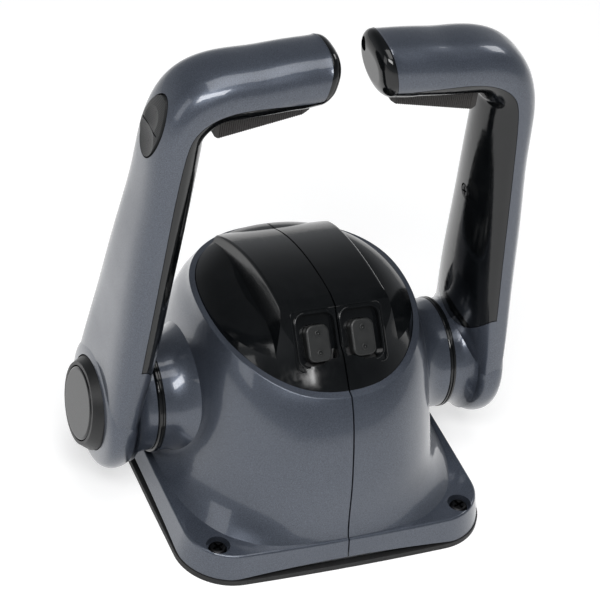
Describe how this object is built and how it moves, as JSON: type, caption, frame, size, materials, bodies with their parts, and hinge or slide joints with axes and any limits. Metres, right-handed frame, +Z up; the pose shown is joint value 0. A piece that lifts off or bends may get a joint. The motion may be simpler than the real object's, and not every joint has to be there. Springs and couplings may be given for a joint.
{
  "type": "boat throttle control lever",
  "caption": "Twin-lever binnacle throttle and shift control for a boat: grey cast housing with black top cover and two cranked levers with lock triggers.",
  "frame": {"origin": "centre of the base underside, below the lever pivot axis", "axes": "+Z up from the deck, -Y towards the helmsman, +X to starboard; the levers turn about X"},
  "size_m": [0.2307, 0.199, 0.267],
  "materials": {
    "grey_casting": "metallic grey paint with a clear coat, over die-cast aluminium",
    "black_gloss": "moulded gloss black",
    "ring_black": "satin black",
    "button_black": "fine satin black",
    "trigger_plastic": "ribbed matte brown-black",
    "gasket_rubber": "matte black",
    "screw_steel": "black oxide stainless",
    "shaft_steel": "turned stainless",
    "bush_plastic": "natural acetal",
    "frame_steel": "pressed stainless",
    "plate_aluminium": "as cast",
    "switch_plastic": "black"
  },
  "bodies": {
    "root": {"base_gasket": "gasket_rubber", "base_plate": "plate_aluminium", "flange_screws": "screw_steel", "mechanism_frame": "frame_steel", "frame_screws": "screw_steel", "inner_bushes": "bush_plastic", "outer_bushes": "bush_plastic", "detent_plungers": "shaft_steel", "neutral_switches": "switch_plastic", "friction_blocks": "switch_plastic", "port_housing_shell": "grey_casting", "port_top_cover": "black_gloss", "port_switch_body": "switch_plastic", "port_collar_ring": "ring_black", "starboard_housing_shell": "grey_casting", "starboard_top_cover": "black_gloss", "starboard_switch_body": "switch_plastic", "starboard_collar_ring": "ring_black"},
    "port_lever": {"port_pivot_shaft": "shaft_steel", "port_hub_bolt": "shaft_steel", "port_drive_plate": "frame_steel", "port_inner_cover": "black_gloss", "port_cover_screw": "screw_steel", "port_end_cap": "black_gloss", "port_end_cap_screw": "screw_steel", "port_trigger_pin": "shaft_steel", "port_lever_arm": "grey_casting", "port_pivot_ring": "ring_black", "port_button_spring": "shaft_steel", "port_trim_switch": "switch_plastic"},
    "starboard_lever": {"starboard_pivot_shaft": "shaft_steel", "starboard_hub_bolt": "shaft_steel", "starboard_drive_plate": "frame_steel", "starboard_inner_cover": "black_gloss", "starboard_cover_screw": "screw_steel", "starboard_end_cap": "black_gloss", "starboard_end_cap_screw": "screw_steel", "starboard_trigger_pin": "shaft_steel", "starboard_lever_arm": "grey_casting", "starboard_hub_cap": "ring_black"},
    "port_trigger": {"port_lock_trigger": "trigger_plastic"},
    "starboard_trigger": {"starboard_lock_trigger": "trigger_plastic"},
    "port_rod": {"port_lock_rod": "shaft_steel"},
    "starboard_rod": {"starboard_lock_rod": "shaft_steel"},
    "throttle_button": {"port_throttle_button": "button_black"},
    "trim_rocker": {"port_trim_rocker": "button_black"},
    "port_switch_button": {"port_switch_button": "button_black"},
    "starboard_switch_button": {"starboard_switch_button": "button_black"}
  },
  "joints": [
    {"name": "port_lever_hinge", "type": "hinge", "parent": "root", "child": "port_lever", "pos_m": [0, 0, 0.0486], "axis": [-1, 0, 0], "range_deg": [-70, 85]},
    {"name": "port_trigger_hinge", "type": "hinge", "parent": "port_lever", "child": "port_trigger", "pos_m": [-0.033, -0.016, 0.2526], "axis": [0, 1, 0], "range_deg": [0, 5.5], "stiffness_Nm_per_rad": 0.6, "springref_deg": -6.88},
    {"name": "port_rod_slide", "type": "slide", "parent": "port_lever", "child": "port_rod", "axis": [0.0437, 0, 0.999], "range_m": [0, 0.0037]},
    {"name": "port_switch_hinge", "type": "hinge", "parent": "root", "child": "port_switch_button", "pos_m": [-0.0121, -0.04606, 0.10819], "axis": [1, 0, 0], "range_deg": [-5, 5], "stiffness_Nm_per_rad": 0.15},
    {"name": "starboard_lever_hinge", "type": "hinge", "parent": "root", "child": "starboard_lever", "pos_m": [0, 0, 0.0486], "axis": [-1, 0, 0], "range_deg": [-70, 85]},
    {"name": "starboard_trigger_hinge", "type": "hinge", "parent": "starboard_lever", "child": "starboard_trigger", "pos_m": [0.029, -0.016, 0.2526], "axis": [0, -1, 0], "range_deg": [0, 5.5], "stiffness_Nm_per_rad": 0.6, "springref_deg": -6.88},
    {"name": "starboard_rod_slide", "type": "slide", "parent": "starboard_lever", "child": "starboard_rod", "axis": [-0.0704, 0, 0.9975], "range_m": [0, 0.0037]},
    {"name": "starboard_switch_hinge", "type": "hinge", "parent": "root", "child": "starboard_switch_button", "pos_m": [0.0121, -0.04606, 0.10819], "axis": [1, 0, 0], "range_deg": [-5, 5], "stiffness_Nm_per_rad": 0.15},
    {"name": "throttle_button_slide", "type": "slide", "parent": "port_lever", "child": "throttle_button", "axis": [0.9963, 0, -0.0854], "range_m": [0, 0.003], "stiffness_N_per_m": 600, "springref_m": -0.004},
    {"name": "trim_rocker_hinge", "type": "hinge", "parent": "port_lever", "child": "trim_rocker", "pos_m": [-0.09609, -0.015, 0.23065], "axis": [0, 1, 0], "range_deg": [-4, 4], "stiffness_Nm_per_rad": 0.15}
  ],
  "couplings": [
    {"joint": "port_rod_slide", "follows": "port_trigger_hinge", "m_per_rad": 0.0375},
    {"joint": "starboard_rod_slide", "follows": "starboard_trigger_hinge", "m_per_rad": 0.0375}
  ]
}
